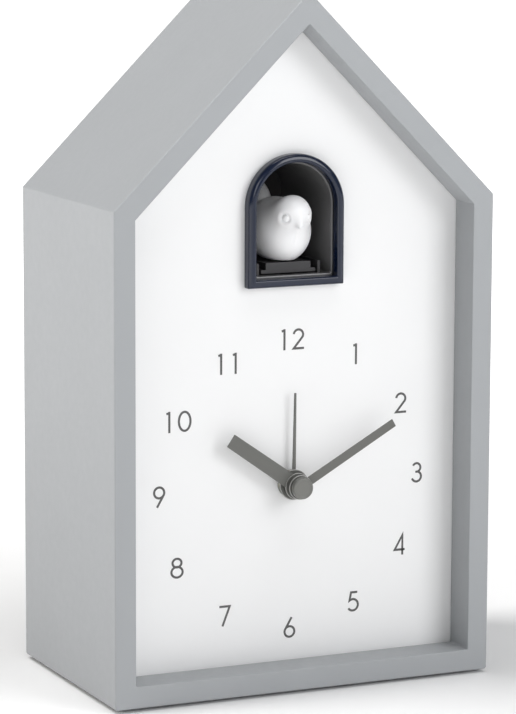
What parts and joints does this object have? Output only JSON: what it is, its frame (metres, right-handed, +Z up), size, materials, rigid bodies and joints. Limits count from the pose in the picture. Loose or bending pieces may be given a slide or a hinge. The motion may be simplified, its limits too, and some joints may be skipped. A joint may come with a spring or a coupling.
{
  "type": "cuckoo alarm clock",
  "caption": "House-shaped table clock with a recessed dial, three hands and an arched window from which a small bird slides out on a geared carriage.",
  "frame": {"origin": "under the middle of the case, on the surface that the feet stand on", "axes": "+Z up, -Y the way the dial faces, +X to the right of someone who reads the dial"},
  "size_m": [0.12, 0.072, 0.204],
  "materials": {
    "case_grey": "satin light grey ABS",
    "dial_white": "smooth matte white",
    "frame_navy": "glossy dark blue",
    "niche_black": "satin black",
    "bird_white": "smooth satin white",
    "hand_grey": "dark grey satin paint",
    "control_black": "fine grained black",
    "gear_plastic": "natural acetal",
    "brass": "turned",
    "steel": "zinc plated",
    "magnet": "ground ferrite",
    "coil": "enamelled winding",
    "cone": "pressed paper",
    "board": "solder mask",
    "chip": "moulded",
    "battery": "printed sleeve",
    "foot_rubber": "soft"
  },
  "bodies": {
    "case": {"case_shell": "case_grey", "dial_panel": "dial_white", "window_frame": "frame_navy", "niche_liner": "niche_black", "foot_front_left": "foot_rubber", "foot_front_right": "foot_rubber", "foot_rear_left": "foot_rubber", "foot_rear_right": "foot_rubber", "movement_front": "gear_plastic", "movement_rear": "control_black", "stepper_module": "coil", "movement_screw_left": "steel", "movement_screw_right": "steel", "motor": "steel", "drive_bracket": "control_black", "home_sensor": "control_black", "rear_cover": "case_grey", "cover_screw_lower_left": "steel", "cover_screw_upper_left": "steel", "cover_screw_lower_right": "steel", "cover_screw_upper_right": "steel", "battery_holder": "control_black", "battery_lower": "battery", "battery_upper": "battery", "contact_bridge": "steel", "contact_positive": "steel", "contact_negative": "steel", "control_cup": "case_grey", "speaker_frame": "steel", "speaker_cone": "cone", "speaker_magnet": "magnet", "main_board": "board", "sound_chip": "chip", "alarm_switch_body": "steel", "chime_switch_body": "steel", "tact_switch": "steel"},
    "minute": {"minute_hand": "hand_grey", "hub_cap": "hand_grey", "center_wheel": "brass"},
    "hour": {"hour_hand": "hand_grey", "hour_wheel": "gear_plastic"},
    "alarm": {"alarm_hand": "hand_grey", "alarm_wheel": "gear_plastic"},
    "time_setting": {"minute_wheel": "gear_plastic", "time_knob": "control_black"},
    "alarm_setting": {"alarm_stem": "gear_plastic", "alarm_knob": "control_black"},
    "third": {"third_wheel": "gear_plastic"},
    "bird": {"bird": "bird_white", "bird_carriage": "niche_black"},
    "drive": {"drive_gear": "gear_plastic"},
    "motor_shaft": {"motor_pinion": "brass"},
    "battery_door": {"battery_door": "case_grey"},
    "alarm_slider": {"alarm_switch": "control_black"},
    "chime_slider": {"chime_switch": "control_black"},
    "test_button": {"test_button": "control_black"}
  },
  "joints": [
    {"name": "minute_turn", "type": "hinge", "parent": "case", "child": "minute", "pos_m": [0, 0, 0.0604], "axis": [0, 1, 0], "continuous": true},
    {"name": "hour_turn", "type": "hinge", "parent": "case", "child": "hour", "pos_m": [0, 0, 0.0604], "axis": [0, 1, 0], "continuous": true},
    {"name": "time_set", "type": "hinge", "parent": "case", "child": "time_setting", "pos_m": [-0.012, 0, 0.0604], "axis": [0, 1, 0], "continuous": true},
    {"name": "third_turn", "type": "hinge", "parent": "case", "child": "third", "pos_m": [0, 0, 0.0716], "axis": [0, 1, 0], "continuous": true},
    {"name": "alarm_set", "type": "hinge", "parent": "case", "child": "alarm_setting", "pos_m": [0.015, 0, 0.0604], "axis": [0, 1, 0], "continuous": true},
    {"name": "alarm_turn", "type": "hinge", "parent": "case", "child": "alarm", "pos_m": [0, 0, 0.0604], "axis": [0, 1, 0], "continuous": true},
    {"name": "bird_slide", "type": "slide", "parent": "case", "child": "bird", "axis": [0, -1, 0], "range_m": [0, 0.012]},
    {"name": "drive_turn", "type": "hinge", "parent": "case", "child": "drive", "pos_m": [0, -0.006, 0.1114], "axis": [1, 0, 0], "range_deg": [0, 144]},
    {"name": "motor_turn", "type": "hinge", "parent": "case", "child": "motor_shaft", "pos_m": [0, -0.00072, 0.1035], "axis": [1, 0, 0], "range_deg": [-402, 0]},
    {"name": "battery_door_tilt", "type": "hinge", "parent": "case", "child": "battery_door", "pos_m": [0, 0.035, 0.0102], "axis": [-1, 0, 0], "range_deg": [0, 85]},
    {"name": "alarm_switch_slide", "type": "slide", "parent": "case", "child": "alarm_slider", "axis": [1, 0, 0], "range_m": [0, 0.004]},
    {"name": "chime_switch_slide", "type": "slide", "parent": "case", "child": "chime_slider", "axis": [1, 0, 0], "range_m": [0, 0.004]},
    {"name": "test_button_press", "type": "slide", "parent": "case", "child": "test_button", "axis": [0, -1, 0], "range_m": [0, 0.0012], "stiffness_N_per_m": 600}
  ],
  "couplings": [
    {"joint": "hour_turn", "follows": "minute_turn", "ratio": 0.083333},
    {"joint": "time_set", "follows": "minute_turn", "ratio": -0.33333},
    {"joint": "third_turn", "follows": "minute_turn", "ratio": -6},
    {"joint": "alarm_turn", "follows": "alarm_set", "ratio": -0.5},
    {"joint": "drive_turn", "follows": "bird_slide", "rad_per_m": 208.33},
    {"joint": "motor_turn", "follows": "bird_slide", "rad_per_m": -583.33}
  ]
}
